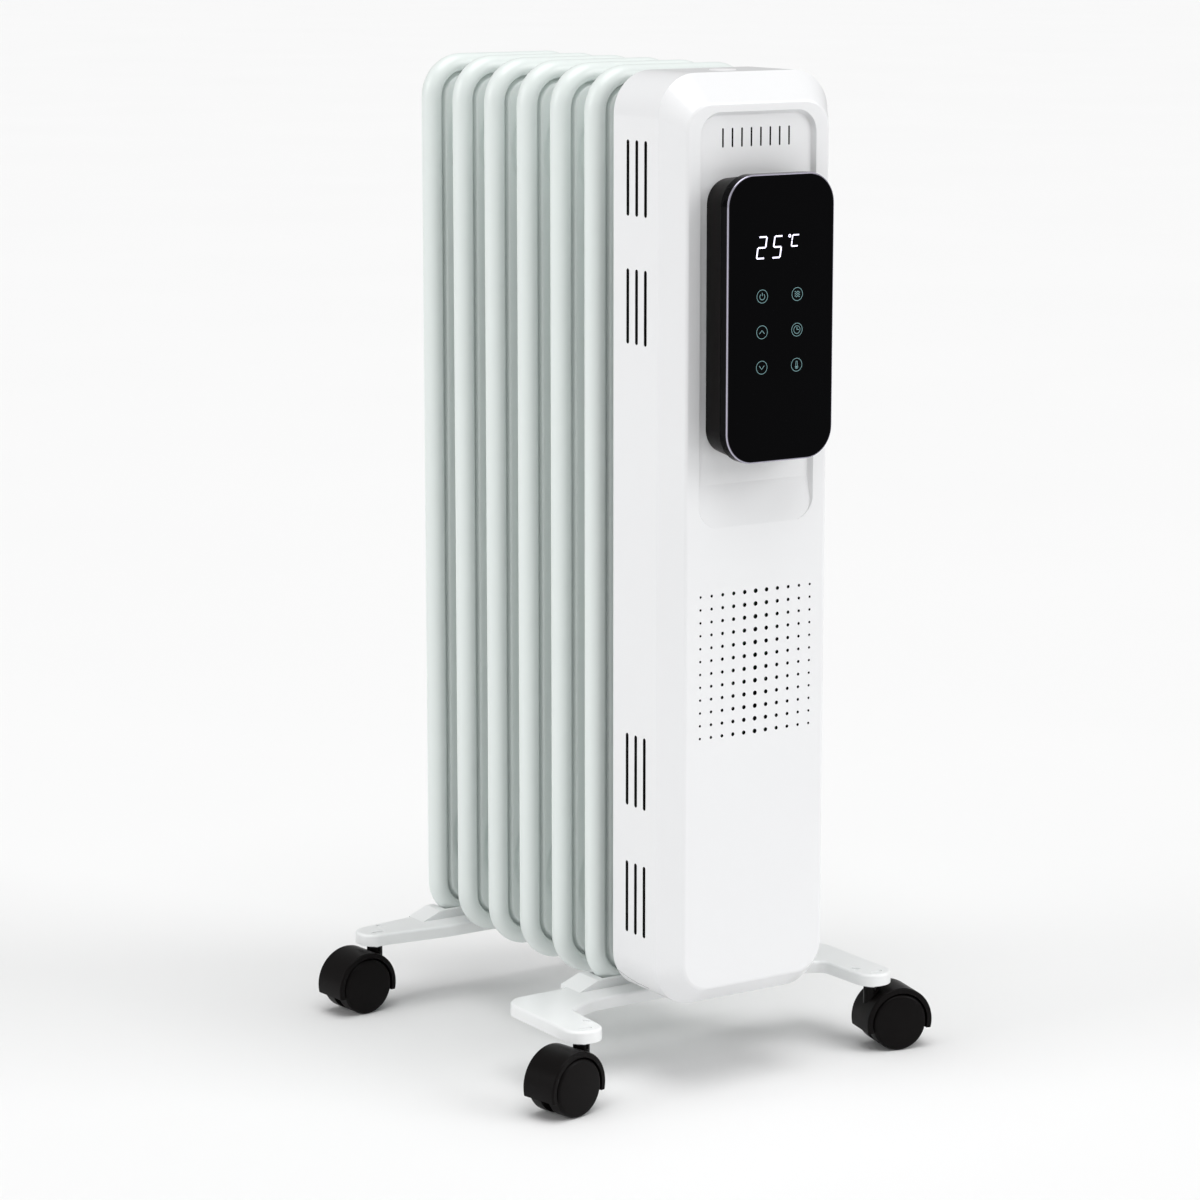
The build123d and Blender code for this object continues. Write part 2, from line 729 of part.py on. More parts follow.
with BuildPart() as board_standoffs:
    with BuildSketch(Plane.XZ.offset(-plate_y + plate_thickness)):
        with Locations(*board_posts):
            Circle(board_post_radius)
    extrude(amount=board_post)
    with BuildSketch(Plane.XZ.offset(-power_board_y - board_thickness)):
        with Locations(*board_posts):
            Circle(screw_radius - thread_gap)
    extrude(amount=board_thickness + small_round / 2)
save(board_standoffs.part, "board_standoffs")

save(on_board(*relay_blocks), "relays")
save(on_board(transformer_block), "transformer")
save(on_board(terminal_strip), "terminal_block")

with BuildPart() as capacitors:
    with BuildSketch(Plane.XZ.offset(-power_board_y)):
        for x, z, radius in capacitor_places:
            with Locations((x, power_board_z + z)):
                Circle(radius)
    extrude(amount=capacitor_height)
save(capacitors.part, "capacitors")

with BuildPart() as thermal_cutout:
    with BuildSketch(Plane.XZ.offset(-plate_y + plate_thickness)):
        with Locations((-sensor_x, sensor_z)):
            Circle(cutout_radius)
    extrude(amount=cutout_height)
    with BuildSketch(Plane.XZ.offset(-plate_y + plate_thickness)):
        with Locations((-sensor_x, sensor_z)):
            RectangleRounded(*cutout_strap, small_round)
    extrude(amount=cutout_strap_thickness)
save(thermal_cutout.part, "thermal_cutout")

with BuildPart() as temperature_sensor:
    with BuildSketch(Plane.XZ.offset(-plate_y + plate_thickness)):
        with Locations((sensor_x, sensor_z)):
            SlotOverall(*sensor_size)
    extrude(amount=sensor_height)
save(temperature_sensor.part, "temperature_sensor")

with BuildPart() as tip_over_switch:
    with BuildSketch(Plane.XZ.offset(-plate_y + plate_thickness)):
        with Locations((-sensor_x, hub_levels[0] - tip_switch_drop)):
            RectangleRounded(*tip_switch_size, small_round)
    extrude(amount=tip_switch_height)
save(tip_over_switch.part, "tip_over_switch")

lead_front_y = power_board_y - lead_clearance
terminal_z = power_board_z + terminal_strip[1] - terminal_strip[3] / 2
with BuildPart() as element_leads:
    for side in (-1, 1):
        start_x = side * element_spacing
        start_y = element_start - terminal_length
        start_z = element_z + element_offset
        with BuildLine() as lead_path:
            FilletPolyline((start_x, start_y, start_z), (start_x, start_y - lead_start, start_z),
                           (start_x, start_y - lead_start, start_z + lead_climb),
                           (start_x, lead_front_y, start_z + lead_climb + lead_slant),
                           (start_x, lead_front_y, terminal_z), radius=lead_bend)
        with BuildSketch(Plane(origin=(start_x, start_y, start_z), z_dir=(0, -1, 0))):
            Circle(lead_radius)
        sweep(path=lead_path.wires()[0])
save(element_leads.part, "element_leads")

# ---------------------------------------------------------------- power button
button_top = housing_top + button_proud
button_bottom = button_top - button_height
spring_bottom = button_bottom - button_travel - spring_rest
with BuildPart() as power_button:
    with BuildSketch(Plane.XY.offset(button_bottom)):
        with Locations((0, button_y)):
            Circle(button_radius)
    extrude(amount=button_height)
    fillet(power_button.edges().group_by(Axis.Z)[-1], radius=button_edge)
    with BuildSketch(Plane.XY.offset(button_bottom)):
        with Locations((0, button_y)):
            Circle(button_radius + flange_overhang)
    extrude(amount=button_flange)
save(power_button.part, "power_button")

with BuildPart() as button_switch:
    with BuildSketch(Plane.XY.offset(spring_bottom)):
        with Locations((0, button_y)):
            RectangleRounded(*switch_plate, small_round)
    extrude(amount=-switch_plate_thickness)
    with BuildSketch(Plane.XY.offset(spring_bottom - switch_plate_thickness)):
        with Locations((0, button_y)):
            RectangleRounded(switch_size[0], switch_size[1], small_round)
    extrude(amount=-switch_size[2])
    with BuildSketch(Plane.XY.offset(spring_bottom)):
        with Locations((0, button_y)):
            Circle(plunger_radius)
    extrude(amount=plunger_height)
save(button_switch.part, "button_switch")

with BuildPart() as button_spring:
    with BuildLine() as coil:
        Helix(spring_pitch, button_bottom - spring_bottom - spring_wire, spring_radius,
              center=(0, button_y, spring_bottom + spring_wire / 2))
    with BuildSketch(Plane(origin=coil.line @ 0, z_dir=coil.line % 0)):
        Circle(spring_wire / 2)
    sweep()
save(button_spring.part, "button_spring")


# ---------------------------------------------------------------- feet
def both_sides(points):
    """A closed outline from its right half, listed from back to front."""
    return points + [(-x, y) for x, y in reversed(points)]


def foot(right_half, radii, fin_y, bolt_y, stem_y):
    """Pressed foot: plate with a skirt, a saddle round the fin it carries, U-bolt holes and a
    threaded boss for each caster stem."""
    outline = both_sides(right_half)
    corner_radii = list(radii + radii[::-1])
    saddle_back = min(fin_y + fin_margin, overall_depth / 2)
    saddle_front = fin_y - fin_margin
    with BuildPart() as piece:
        with BuildSketch(Plane.XY.offset(foot_underside)) as plan:
            with BuildLine():
                FilletPolyline(*outline, radius=corner_radii, close=True)
            make_face()
        extrude(amount=foot_top - foot_underside)
        fillet(piece.edges().group_by(Axis.Z)[-1], radius=foot_round)
        with BuildSketch(Plane.XZ.offset(-saddle_back)):
            with BuildLine():
                Polyline((-saddle_half_length - saddle_slope, foot_top - foot_wall),
                         (-saddle_half_length - saddle_slope, foot_top),
                         (-saddle_half_length, saddle_top), (saddle_half_length, saddle_top),
                         (saddle_half_length + saddle_slope, foot_top),
                         (saddle_half_length + saddle_slope, foot_top - foot_wall), close=True)
            make_face()
        extrude(amount=saddle_back - saddle_front)
        with BuildSketch(Plane.XY.offset(foot_underside)):
            add(plan.sketch)
            offset(amount=-foot_wall, mode=Mode.REPLACE)
        extrude(amount=foot_top - foot_wall - foot_underside, mode=Mode.SUBTRACT)
        with BuildSketch(Plane.XZ.offset(-fin_y - bead_radius - foot_fin_gap)):
            with Locations((0, fin_middle_z)):
                RectangleRounded(fin_width, fin_height, fin_corner)
        extrude(amount=2 * (bead_radius + foot_fin_gap), mode=Mode.SUBTRACT)
        with BuildSketch(Plane.XY.offset(foot_underside)):
            with Locations((stem_x, stem_y), (-stem_x, stem_y)):
                Circle(stem_boss_radius)
        extrude(amount=foot_top - foot_wall - foot_underside)
        with BuildSketch(Plane.XY.offset(foot_underside)):
            with Locations((stem_x, stem_y), (-stem_x, stem_y)):
                Circle(stem_thread_radius + thread_gap)
        extrude(amount=foot_top - foot_wall - foot_underside, mode=Mode.SUBTRACT)
        with BuildSketch(Plane.XY.offset(foot_underside)):
            with Locations((u_bolt_x, bolt_y), (-u_bolt_x, bolt_y)):
                Circle(u_bolt_wire + loose_gap)
        extrude(amount=saddle_top - foot_underside, mode=Mode.SUBTRACT)
        with BuildSketch(Plane.XY.offset(foot_top - recess_mark)):
            for side in (-1, 1):
                with Locations((side * (stem_x - triangle_inset), stem_y + triangle_behind)):
                    RegularPolygon(triangle_radius, 3, rotation=90)
                with Locations((side * stem_x, stem_y - dash_ahead)):
                    SlotOverall(*dash_size)
        extrude(amount=recess_mark, mode=Mode.SUBTRACT)
    return piece.part


front_bar_front = front_bolt_y - bar_margin
front_bar_back = end_fin_y + fin_pitch + fin_margin
outer_x = stem_x + lobe_radius
saddle_end = saddle_half_length + bar_shoulder
front_half = [(saddle_end, front_bar_back), (saddle_end + arm_flare, front_bar_back - arm_step),
              (outer_x, front_bar_back - arm_step), (outer_x, front_stem_y - lobe_radius),
              (stem_x - lobe_radius, front_stem_y - lobe_radius),
              (arm_inner_x, front_bar_front - neck_behind), (arm_inner_x - neck_run, front_bar_front)]
save(foot(front_half, front_radii,
          end_fin_y + fin_pitch, front_bolt_y, front_stem_y), "front_foot")

rear_edge = overall_depth / 2
rear_half = [(saddle_end, rear_edge), (stem_x, rear_stem_y + lobe_radius),
             (outer_x, rear_stem_y + lobe_radius), (outer_x, rear_stem_y - lobe_radius),
             (stem_x - bar_shoulder, rear_stem_y - lobe_radius), (saddle_end, rear_bolt_y - bar_margin)]
save(foot(rear_half, rear_radii,
          rear_fin_y, rear_bolt_y, rear_stem_y), "rear_foot")

with BuildPart() as foot_u_bolts:
    for bolt_y in (front_bolt_y, rear_bolt_y):
        low = (-u_bolt_x, bolt_y, foot_underside + u_bolt_end)
        with BuildLine() as bend:
            Line(low, (-u_bolt_x, bolt_y, hub_levels[0]))
            ThreePointArc((-u_bolt_x, bolt_y, hub_levels[0]),
                          (0, bolt_y, hub_levels[0] + u_bolt_x),
                          (u_bolt_x, bolt_y, hub_levels[0]))
            Line((u_bolt_x, bolt_y, hub_levels[0]), (u_bolt_x, bolt_y, foot_underside + u_bolt_end))
        with BuildSketch(Plane(origin=low)):
            Circle(u_bolt_wire)
        sweep(path=bend.wires()[0])
save(foot_u_bolts.part, "foot_u_bolts")

nut_places = [(side * u_bolt_x, bolt_y) for bolt_y in (front_bolt_y, rear_bolt_y)
              for side in (-1, 1)]
with BuildPart() as wing_nuts:
    with BuildSketch(Plane.XY.offset(foot_top - foot_wall)):
        with Locations(*nut_places):
            Circle(nut_radius)
    extrude(amount=-nut_height)
    with BuildSketch(Plane.XY.offset(foot_top - foot_wall - wing_drop)):
        with Locations(*nut_places):
            SlotOverall(wing_span, wing_thickness)
    extrude(amount=wing_drop - nut_height)
    with BuildSketch(Plane.XY.offset(foot_top - foot_wall)):
        with Locations(*nut_places):
            Circle(u_bolt_wire + thread_gap)
    extrude(amount=-nut_height, mode=Mode.SUBTRACT)
save(wing_nuts.part, "foot_wing_nuts")

stem_places = [(side * stem_x, stem_y) for stem_y in (front_stem_y, rear_stem_y)
               for side in (-1, 1)]
with BuildPart() as caster_stems:
    for radius, low, high in ((pin_radius, pin_bottom, foot_underside),
                              (shoulder_radius, collar_top + 2 * thread_gap, foot_underside),
                              (stem_thread_radius, foot_underside, foot_top - foot_wall - loose_gap)):
        with BuildSketch(Plane.XY.offset(low)):
            with Locations(*stem_places):
                Circle(radius)
        extrude(amount=high - low)
save(caster_stems.part, "caster_stems")

# ---------------------------------------------------------------- casters
# Each is drawn about its stem's axis with the wheels trailing towards +X.
axle_line = Plane(origin=(caster_trail, 0, wheel_radius), z_dir=(0, 1, 0))
hood_inner = wheel_radius + hood_gap


def across(half_width):
    """Plane square to the axle, half a width to the -Y side of the caster's middle plane."""
    return axle_line.offset(-half_width)


with BuildPart() as hood:
    with BuildSketch(across(hood_half_width)):
        Circle(hood_radius)
    extrude(amount=2 * hood_half_width)
    fillet(hood.edges().filter_by(GeomType.CIRCLE), radius=1.2)
    with BuildSketch(Plane.XY.offset(collar_bottom)):
        Circle(collar_radius)
    extrude(amount=collar_top - collar_bottom)
    for start in (hood_web, -hood_half_width - 1):
        with BuildSketch(axle_line.offset(start)):
            Circle(hood_inner)
        extrude(amount=hood_half_width - hood_web + 1, mode=Mode.SUBTRACT)
    with BuildSketch(axle_line.offset(-hood_half_width - 1)):
        Circle(axle_radius)
    extrude(amount=2 * hood_half_width + 2, mode=Mode.SUBTRACT)
    with BuildSketch(Plane.XY.offset(pin_bottom - 0.3)):
        Circle(pin_radius + running_gap)
    extrude(amount=collar_top, mode=Mode.SUBTRACT)
    with BuildSketch(Plane.XY.offset(collar_top - 3)):
        Rectangle(1.3, 3 * collar_radius)
        Rectangle(3 * collar_radius, 1.3)
    extrude(amount=4, mode=Mode.SUBTRACT)
    with BuildSketch(Plane.XY.offset(hood_cut_z)):
        with Locations((caster_trail, 0)):
            Rectangle(3 * hood_radius, 3 * hood_radius)
    extrude(amount=-hood_radius, mode=Mode.SUBTRACT)

with BuildPart() as axle:
    with BuildSketch(across(wheel_outer_face - 3)):
        Circle(axle_radius)
    extrude(amount=2 * (wheel_outer_face - 3))

with BuildPart() as wheel:
    with BuildSketch(Plane(origin=(caster_trail, 0, wheel_radius), x_dir=(0, 1, 0),
                           z_dir=(1, 0, 0))):
        with BuildLine():
            Polyline((wheel_inner_face, axle_radius + running_gap), (wheel_inner_face, 6),
                     (wheel_outer_face - 3.5, 6), (wheel_outer_face - 3.5, wheel_radius - 3.5),
                     (wheel_inner_face + 0.6, wheel_radius - 3.5),
                     (wheel_inner_face + 0.6, wheel_radius),
                     (wheel_outer_face - wheel_shoulder - 0.6, wheel_radius))
            CenterArc((wheel_outer_face - wheel_shoulder - 0.6, wheel_radius - wheel_shoulder),
                      wheel_shoulder, 90, -90)
            ThreePointArc((wheel_outer_face - 0.6, wheel_radius - wheel_shoulder),
                          (wheel_outer_face - 0.15, wheel_radius / 2), (wheel_outer_face, 2))
            Polyline((wheel_outer_face, 2), (wheel_outer_face, 0), (wheel_outer_face - 2.6, 0),
                     (wheel_outer_face - 2.6, axle_radius + running_gap),
                     (wheel_inner_face, axle_radius + running_gap))
        make_face()
    revolve(axis=Axis((caster_trail, 0, wheel_radius), (0, 1, 0)))

for corner, side, stem_y, yaw in (("front_left", -1, front_stem_y, 180 + front_yaw),
                                  ("front_right", 1, front_stem_y, -front_yaw),
                                  ("rear_left", -1, rear_stem_y, 180 + rear_yaw),
                                  ("rear_right", 1, rear_stem_y, -rear_yaw)):
    place = Location((side * stem_x, stem_y, 0), (0, 0, yaw))
    for shape, name in ((hood.part, "caster_hood"), (axle.part, "caster_axle"),
                        (wheel.part, "caster_wheel_a"),
                        (mirror(wheel.part, about=Plane.XZ), "caster_wheel_b")):
        with BuildPart() as caster_piece:
            with Locations(place):
                add(shape)
        save(caster_piece.part, f"{name}_{corner}")
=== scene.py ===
"""Looks of the oil filled radiator heater: paint, plastic, glass and steel finishes, smooth
pressed fins, the lit display and key marks, soft studio light and the camera."""
import json
import math

import bpy
import numpy as np
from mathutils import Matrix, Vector


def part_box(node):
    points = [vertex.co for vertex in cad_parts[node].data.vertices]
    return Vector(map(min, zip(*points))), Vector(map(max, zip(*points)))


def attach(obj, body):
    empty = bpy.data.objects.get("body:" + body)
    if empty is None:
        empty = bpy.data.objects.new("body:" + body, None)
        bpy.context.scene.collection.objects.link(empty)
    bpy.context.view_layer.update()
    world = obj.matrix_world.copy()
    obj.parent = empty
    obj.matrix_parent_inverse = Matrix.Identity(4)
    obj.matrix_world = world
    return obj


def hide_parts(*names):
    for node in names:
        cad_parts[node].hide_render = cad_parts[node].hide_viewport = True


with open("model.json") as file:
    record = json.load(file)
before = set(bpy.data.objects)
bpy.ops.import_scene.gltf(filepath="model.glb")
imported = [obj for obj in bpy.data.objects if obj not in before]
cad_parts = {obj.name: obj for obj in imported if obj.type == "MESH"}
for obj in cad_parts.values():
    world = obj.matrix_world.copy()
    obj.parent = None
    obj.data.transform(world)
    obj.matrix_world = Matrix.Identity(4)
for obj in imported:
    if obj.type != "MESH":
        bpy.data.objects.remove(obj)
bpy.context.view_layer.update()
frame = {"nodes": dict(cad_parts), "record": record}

MM = 0.001

# Pressed fins, in millimetres, to the sizes of the fins that they replace
FIN_COUNT = 7
BEAD_RADIUS = 7.4
BEAD_WIDTH = 11.0
FIN_CORNER = 28.0
PANEL_LEVEL = 5.6
GROOVE_END = 11.95
FLANK_END = 13.45
HUB_INSET = 58.0
DISH_RADIUS = 45.5
DISH_DROP = 2.2
CONE_RADIUS = 31.0
CONE_REACH = 14.0
COLLAR_RADIUS = 17.5
CAP_RADIUS = 16.0
CAP_RISE = 2.4
CHANNELS = (-24.0, 0.0, 24.0)
CHANNEL_HALF_WIDTH = 4.0
CHANNEL_DEPTH = 3.4
CHANNEL_END_GAP = 22.0
SEAM_LEVEL = 0.7            # bottom of the groove beside the bead

# Points along the parts of a fin's surface
CORNER_POINTS = 11
HUB_SIDE_POINTS = 58        # of a side beside each hub, and between the hubs
MIDDLE_SIDE_POINTS = 42
END_POINTS = 26
OUTER_BEAD_POINTS = 12
INNER_BEAD_POINTS = 8
FLANK_POINTS = 7
PANEL_POINTS = 26           # from the flank to the middle
HUB_POINTS = 64             # round each hub
CONE_POINTS = 7

# Display and key marks on the glass, in millimetres; slant is sideways over upwards
GLASS_LIFT = 0.03
DIGIT_BASE = 520.4
DIGIT_SIZE = (5.6, 12.6)
DIGIT_LEFTS = (-18.1, -6.7)
UNIT_LEFT = 7.2
UNIT_RISE = 6.2
UNIT_SIZE = (4.8, 6.6)
DEGREE_CENTRE = (6.0, DIGIT_BASE + 12.4)
DEGREE_RADIUS = 0.75
DEGREE_LINE = 0.5
DIGIT_SLANT = 0.15
SEGMENT = 0.9
UNIT_SEGMENT = SEGMENT * 0.85
SEGMENT_TRIM = 0.22         # share of the line's width left free at each end of a bar
KEY_COLUMNS = (-13.7, 11.9)
KEY_ROWS = (497.8, 476.5, 455.4)
KEY_RING = 3.9
KEY_LINE = 0.30
ARROW_HALF_WIDTH = 1.8
ARROW_RISE = 1.0
ARROW_DROP = 1.1

# Edge of the glass and its painted highlight line, and painted skin of the back plate, in metres
GLASS_CORNER = 0.019
HIGHLIGHT_LINE = 0.0011
PLATE_SKIN = 0.0002

# Where shade is painted inside the housing, in metres: the upright line that its inner faces look
# towards, the depth of the recess in its front, and the bands of the sides and front that hold the
# vents
HOLLOW_SETBACK = 0.025
RECESS_REACH = 0.0037
AXIS_LOW, AXIS_HIGH = 0.10, 0.58
SIDE_SKIN = (0.0602, 0.0618)
SIDE_VENTS = (-0.112, -0.084)
FRONT_VENTS = 0.0425
FRONT_SKIN = 0.0015
VENT_LEVELS = (0.09, 0.5975)
FACES_REAR = 0.9            # least Y of a face normal that looks to the rear
ALONG_SKIN = 0.3            # most that a vent wall's normal leans out of the skin

# Camera
CAMERA_AIM = (-0.0004, 0.0362, 0.2819)
CAMERA_AZIMUTH = -33.11
CAMERA_ELEVATION = 10.81
CAMERA_DISTANCE = 2.4134
CAMERA_LENS = 111.58
SENSOR_WIDTH = 36.0

FLOOR_HALF_SIZE = 45.0      # metres

# Studio: strength of the surround, then each lamp's azimuth from the front towards the right,
# elevation and softness in degrees, with the light that a white face square to it gives back
SURROUND_STRENGTH = 0.40
LAMPS = {"left_lamp": (-102, 22, 34, 0.23), "right_lamp": (42, 26, 34, 0.30),
         "top_lamp": (-20, 78, 50, 0.52)}


# ------------------------------------------------------------------ mesh helpers
def weld(points, faces):
    """Merge points that coincide and drop the faces that collapse."""
    _, first, same = np.unique(np.round(points, 7), axis=0, return_index=True, return_inverse=True)
    same = same.reshape(-1)
    faces = same[faces]
    kept = []
    for k in range(4):
        kept.append(faces[:, k] != faces[:, (k + 1) % 4])
    count = np.sum(kept, axis=0)
    quads = faces[count == 4]
    slim = faces[count == 3]
    tris = [tuple(dict.fromkeys(row)) for row in slim.tolist()]
    return points[first], [tuple(row) for row in quads.tolist()] + tris


def make_mesh(name, points, faces, smooth=True):
    """A mesh object from point and quad arrays, in metres, at the origin."""
    points, faces = weld(np.asarray(points, float), np.asarray(faces, int))
    mesh = bpy.data.meshes.new(name)
    mesh.from_pydata(points.tolist(), [], faces)
    mesh.validate()
    mesh.polygons.foreach_set("use_smooth", np.full(len(mesh.polygons), smooth))
    mesh.update()
    piece = bpy.data.objects.new(name, mesh)
    bpy.context.scene.collection.objects.link(piece)
    return piece


def grid_faces(rows, columns, closed, start=0, flip=False):
    """Quads of a grid of rows by columns of points; closed joins the last column to the first."""
    last = columns if closed else columns - 1
    row, column = np.meshgrid(np.arange(rows - 1), np.arange(last), indexing="ij")
    after = (column + 1) % columns
    quads = np.stack([row * columns + column, row * columns + after,
                      (row + 1) * columns + after, (row + 1) * columns + column], -1)
    quads = quads.reshape(-1, 4) + start
    return quads[:, ::-1] if flip else quads


def smooth_step(edge_low, edge_high, value):
    """0 below the low edge, 1 above the high edge, 3t^2 - 2t^3 between them."""
    t = np.clip((value - edge_low) / (edge_high - edge_low), 0, 1)
    return t * t * (3 - 2 * t)


# ------------------------------------------------------------------ fins
def outline_parameters(half_height):
    """Where the points of every ring lie: angles round a corner, and shares of the way along a
    side and along an end. The side has more points beside the hubs than between them."""
    corner = np.linspace(0, math.pi / 2, CORNER_POINTS)
    straight = half_height - FIN_CORNER
    near = np.linspace(0, 1, HUB_SIDE_POINTS) * (2 * HUB_INSET - FIN_CORNER)
    middle = np.linspace(near[-1], 2 * straight - near[-1], MIDDLE_SIDE_POINTS)[1:-1]
    side = np.concatenate([near, middle, 2 * straight - near[::-1]]) / (2 * straight)
    return corner, side, np.linspace(0, 1, END_POINTS)


def outline_ring(inset, half_width, half_height, parameters):
    """Closed rounded rectangle at an inset from the outline, as X and Z from the fin's middle.
    Sides are straight, corners are arcs of radius corner - inset, never below zero."""
    corner, side, end = parameters
    radius = max(FIN_CORNER - inset, 0.0)
    a, b = half_width - inset, half_height - inset
    flat_x, flat_z = max(a - radius, 0.0), max(b - radius, 0.0)
    right = np.stack([np.full_like(side, a), flat_z * (2 * side - 1)], -1)
    top = np.stack([flat_x * (1 - 2 * end), np.full_like(end, b)], -1)
    bend = np.stack([flat_x + radius * np.cos(corner), flat_z + radius * np.sin(corner)], -1)
    bend_left = np.stack([-bend[::-1, 0], bend[::-1, 1]], -1)
    return np.concatenate([right[:-1], bend[:-1], top[:-1], bend_left[:-1],
                           -right[:-1], -bend[:-1], -top[:-1], -bend_left[:-1]])


def sheet_rings():
    """Insets and heights over the seam of the rings from the outline inwards: two quarter arcs
    of the bead, then the groove beside it with a rounded flank up to the panel."""
    outer = np.linspace(0, math.pi / 2, OUTER_BEAD_POINTS)
    inner = np.linspace(0, math.pi / 2, INNER_BEAD_POINTS)[1:]
    inner_radius = BEAD_WIDTH - BEAD_RADIUS
    shoulder = BEAD_RADIUS - inner_radius
    inset = [BEAD_RADIUS * (1 - np.cos(outer)), BEAD_RADIUS + inner_radius * np.sin(inner)]
    height = [BEAD_RADIUS * np.sin(outer), shoulder + inner_radius * np.cos(inner)]
    inset.append(np.array([BEAD_WIDTH + 0.02, BEAD_WIDTH + 0.1, BEAD_WIDTH + 0.3, GROOVE_END - 0.2]))
    height.append(np.array([shoulder * 0.6, 1.3, 0.75, SEAM_LEVEL]))
    flank = np.linspace(0, 1, FLANK_POINTS)
    inset.append(GROOVE_END + (FLANK_END + 0.5 - GROOVE_END) * flank)
    height.append(SEAM_LEVEL + (PANEL_LEVEL - SEAM_LEVEL) * smooth_step(0, 1, flank))
    return np.concatenate(inset), np.concatenate(height)


def panel_height(x, z, half_height, blind):
    """Height of the oil panel: flat, less the hub dishes and the channels between them; a blind
    hub has a low round cap in its middle."""
    height = np.full_like(x, PANEL_LEVEL)
    for level in (half_height - HUB_INSET, HUB_INSET - half_height):
        reach = np.hypot(x, z - level)
        height -= DISH_DROP * (1 - smooth_step(DISH_RADIUS - 2.6, DISH_RADIUS, reach))
        if blind:
            height += CAP_RISE * (1 - smooth_step(CAP_RADIUS, CAP_RADIUS + 2.6, reach))
    channel_reach = half_height - HUB_INSET - DISH_RADIUS - CHANNEL_END_GAP - CHANNEL_HALF_WIDTH
    for middle in CHANNELS:
        over = np.maximum(np.abs(z) - channel_reach, 0)
        reach = np.hypot(x - middle, over)
        height -= CHANNEL_DEPTH * (1 - smooth_step(CHANNEL_HALF_WIDTH - 2.4, CHANNEL_HALF_WIDTH, reach))
    return height


def fin_sheet(centre_y, middle_z, half_width, half_height, facing, blind, start):
    """Points and quads of one pressed sheet; facing is -1 to the front and 1 to the rear."""
    parameters = outline_parameters(half_height)
    insets, heights = sheet_rings()
    rest = np.linspace(insets[-1], half_width, PANEL_POINTS)[1:]
    rings, levels = [], []
    for inset, height in zip(insets, heights):
        ring = outline_ring(inset, half_width, half_height, parameters)
        rings.append(ring)
        levels.append(np.full(len(ring), height))
    for inset in rest:
        ring = outline_ring(inset, half_width, half_height, parameters)
        rings.append(ring)
        levels.append(panel_height(ring[:, 0], ring[:, 1], half_height, blind))
    ring, level = np.concatenate(rings), np.concatenate(levels)
    points = np.stack([ring[:, 0], np.full(len(ring), centre_y) + facing * level,
                       ring[:, 1] + middle_z], -1)
    faces = grid_faces(len(rings), len(rings[0]), True, start, flip=facing > 0)
    return points, faces


def hub_cone(centre_y, level_z, facing, reach, start):
    """Turned surface of one hub: from the dish up a cone and along the collar. The profile is
    radius against height over the seam, turned about the hub's axis."""
    base = PANEL_LEVEL - DISH_DROP - 0.1
    foot_radius = CONE_RADIUS + 1.5
    turn = np.linspace(0, 1, CONE_POINTS)
    cone_radius = foot_radius - (foot_radius - COLLAR_RADIUS) * turn
    cone_height = base + (CONE_REACH - base) * (0.35 * turn + 0.65 * turn ** 2)
    weld_radius = COLLAR_RADIUS + np.array([0, 0, 0.5, 0.7])
    radius = np.concatenate([cone_radius, weld_radius])
    height = np.concatenate([cone_height, [CONE_REACH + 1, reach - 0.9, reach - 0.45, reach]])
    angle = np.linspace(0, 2 * math.pi, HUB_POINTS, endpoint=False)
    points = np.stack([np.outer(radius, np.cos(angle)),
                       centre_y + facing * np.repeat(height[:, None], HUB_POINTS, 1),
                       level_z + np.outer(radius, np.sin(angle))], -1).reshape(-1, 3)
    return points, grid_faces(len(radius), HUB_POINTS, True, start, flip=facing > 0)


def pressed_fin(number, centre_y, pitch, middle_z, half_width, half_height):
    """Both sheets of one fin with their hubs, welded into one closed skin."""
    points, faces = [], []
    for facing in (-1, 1):
        blind = number == 1 and facing > 0
        start = sum(len(part) for part in points)
        part, quads = fin_sheet(centre_y, middle_z, half_width, half_height, facing, blind, start)
        points.append(part)
        faces.append(quads)
        if blind:
            continue
        for level in (middle_z + half_height - HUB_INSET, middle_z - half_height + HUB_INSET):
            start = sum(len(part) for part in points)
            part, quads = hub_cone(centre_y, level, facing, pitch / 2, start)
            points.append(part)
            faces.append(quads)
    piece = make_mesh(f"pressed_fin_{number}", np.concatenate(points) * MM, np.concatenate(faces))
    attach(piece, "radiator")
    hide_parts(f"fin_{number}")
    return piece


def pressed_fins():
    """The fins with the rolled edge bead; the end fin in the housing's mouth stays as it is."""
    low, high = (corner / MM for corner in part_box("fin_2"))
    pitch = high.y - low.y
    rear_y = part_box("fin_1")[0].y / MM + pitch / 2
    return [pressed_fin(number, rear_y - (number - 1) * pitch, pitch, (high.z + low.z) / 2,
                        (high.x - low.x) / 2, (high.z - low.z) / 2)
            for number in range(1, FIN_COUNT)]


# ------------------------------------------------------------------ marks on the glass
def ribbon(points, width, closed=False):
    """Flat strip of even width along a line of X, Z points: each point is moved both ways along
    the mean of its neighbours' normals."""
    line = np.asarray(points, float)
    before = np.roll(line, 1, 0) if closed else np.vstack([2 * line[0] - line[1], line[:-1]])
    after = np.roll(line, -1, 0) if closed else np.vstack([line[1:], 2 * line[-1] - line[-2]])
    along = after - before
    along /= np.linalg.norm(along, axis=1)[:, None]
    normal = np.stack([-along[:, 1], along[:, 0]], -1) * width / 2
    edge = np.concatenate([line + normal, line - normal])
    return edge, grid_faces(2, len(line), closed)


def disc(centre, radius, steps=24):
    """Filled disc as a ring of quads that meet in its middle."""
    angle = np.linspace(0, 2 * math.pi, steps, endpoint=False)
    rim = np.stack([np.cos(angle), np.sin(angle)], -1) * radius + centre
    middle = np.tile(np.asarray(centre, float), (steps, 1))
    return np.concatenate([rim, middle]), grid_faces(2, steps, True)


